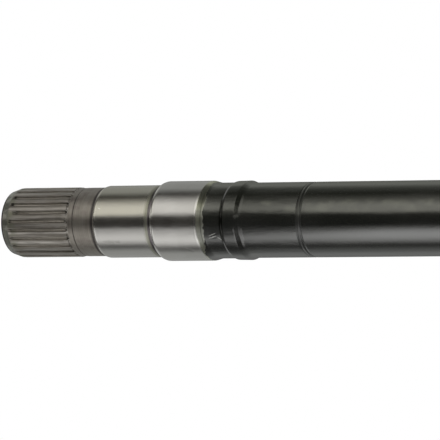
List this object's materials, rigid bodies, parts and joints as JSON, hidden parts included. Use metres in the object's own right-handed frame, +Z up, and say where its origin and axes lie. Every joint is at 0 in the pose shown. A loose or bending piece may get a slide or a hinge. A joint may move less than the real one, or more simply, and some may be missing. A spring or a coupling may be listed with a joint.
{
  "type": "axle shaft",
  "caption": "Drive axle shaft turned from one steel bar: splined end, bearing seat, seal journal, waist, raised collar and black painted bar.",
  "frame": {"origin": "centre of the splined end face, on the shaft's axis", "axes": "+X along the axis from the splined end to the plain end of the bar, +Z up; the shaft lies level, as it is carried in the vehicle and as the picture shows it"},
  "size_m": [0.3, 0.035, 0.035],
  "materials": {
    "steel": "bare turned and ground steel from the splined end to the waist; black paint from the waist to the plain end"
  },
  "bodies": {
    "root": {"axle_shaft": "steel"}
  },
  "joints": []
}
